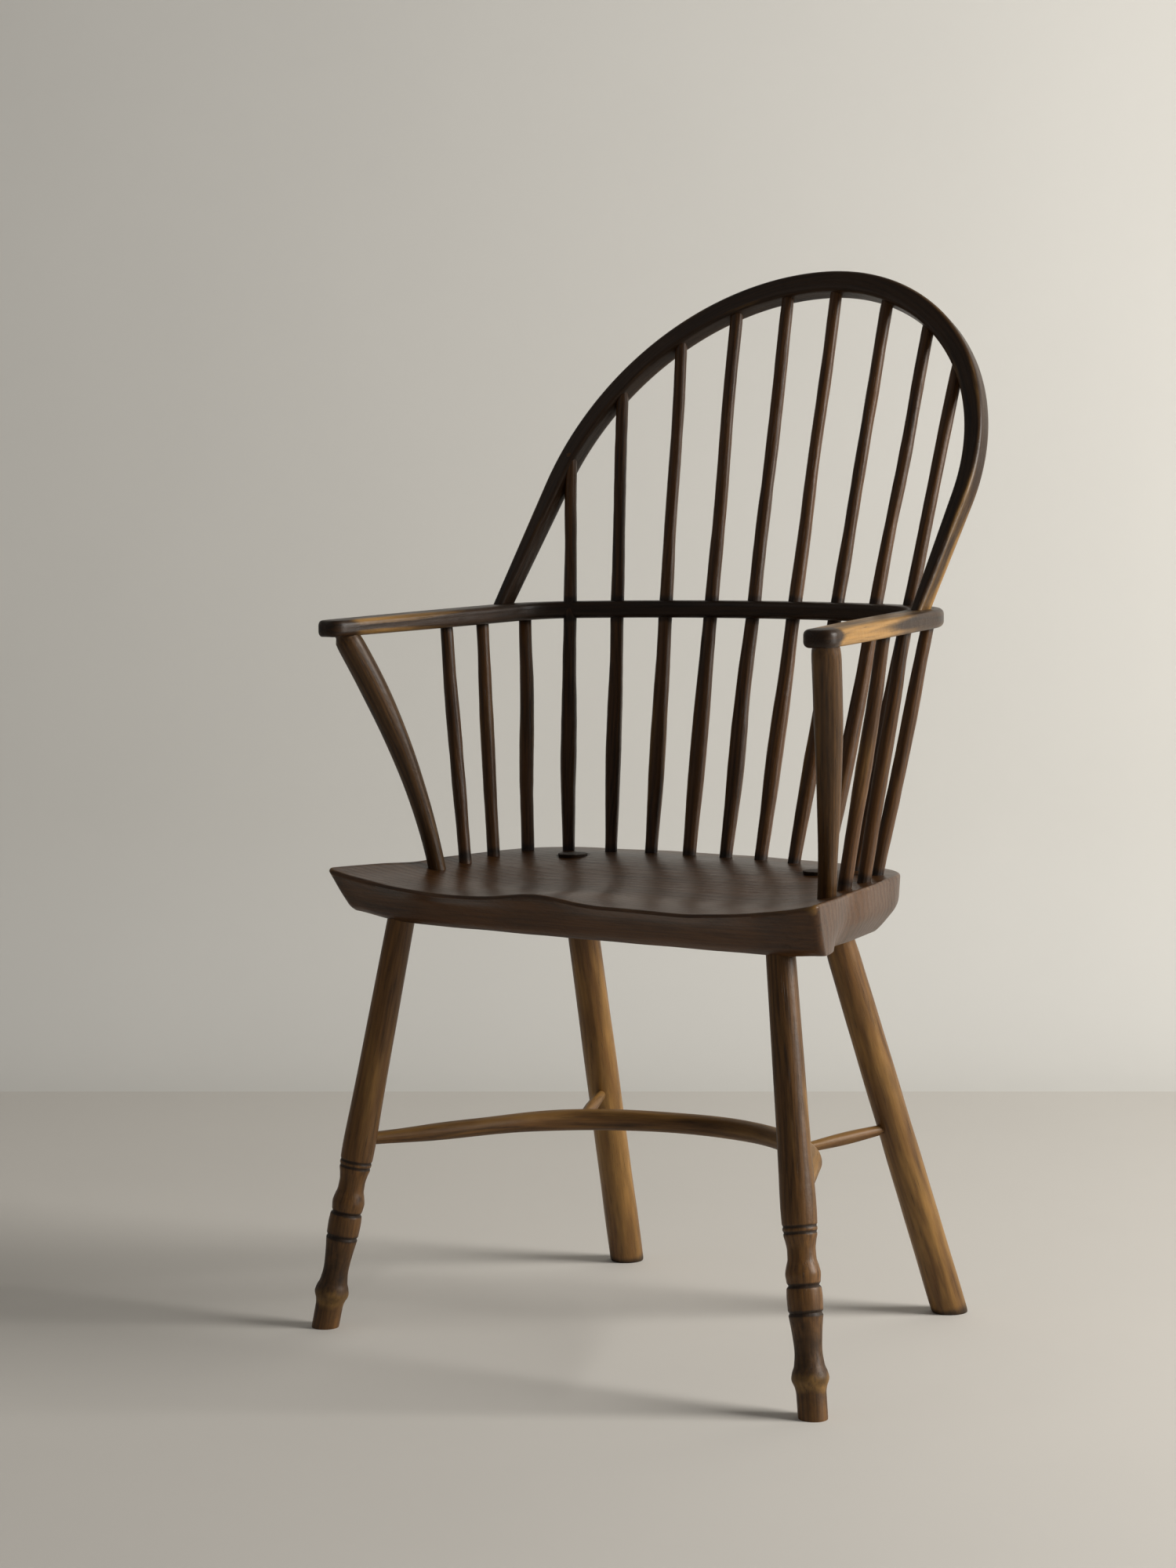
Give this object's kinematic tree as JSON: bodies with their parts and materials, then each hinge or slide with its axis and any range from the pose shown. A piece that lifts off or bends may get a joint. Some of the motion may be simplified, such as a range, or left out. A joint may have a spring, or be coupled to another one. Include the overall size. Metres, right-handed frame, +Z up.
{
  "type": "stick-back armchair",
  "caption": "Wooden armchair with a saddled plank seat, splayed turned legs, a curved stretcher, a bent arm bow and a tall bent back hoop filled with sticks.",
  "frame": {"origin": "on the floor, in the middle of the chair's width and depth", "axes": "+Z up, the front of the seat faces -Y, +X is on the right when the chair is seen from the front"},
  "size_m": [0.564, 0.4228, 1.0043],
  "materials": {
    "seat_elm": "dark stained elm, worn and waxed, soft sheen",
    "leg_wood": "golden brown turned wood with darker feet, satin wax",
    "stretcher_ash": "grey-brown bent ash, worn golden at one end",
    "arm_ash": "bent ash with the stain worn to tan, satin wax",
    "hoop_ash": "dark stained bent ash, edges worn golden",
    "stick_ash": "shaved ash sticks, dark stain, satin wax",
    "post_wood": "bent arm posts, brown stain, satin wax"
  },
  "bodies": {
    "root": {"seat": "seat_elm", "front_leg_left": "leg_wood", "front_leg_right": "leg_wood", "rear_leg_left": "leg_wood", "rear_leg_right": "leg_wood", "crinoline_stretcher": "stretcher_ash", "stretcher_spur_left": "stretcher_ash", "stretcher_spur_right": "stretcher_ash", "arm_bow": "arm_ash", "back_bow": "hoop_ash", "arm_post_left": "post_wood", "arm_post_right": "post_wood", "back_stick_1": "stick_ash", "back_stick_2": "stick_ash", "back_stick_3": "stick_ash", "back_stick_4": "stick_ash", "back_stick_5": "stick_ash", "back_stick_6": "stick_ash", "back_stick_7": "stick_ash", "back_stick_8": "stick_ash", "back_stick_9": "stick_ash", "arm_stick_left_1": "stick_ash", "arm_stick_left_2": "stick_ash", "arm_stick_left_3": "stick_ash", "arm_stick_right_1": "stick_ash", "arm_stick_right_2": "stick_ash", "arm_stick_right_3": "stick_ash"}
  },
  "joints": []
}
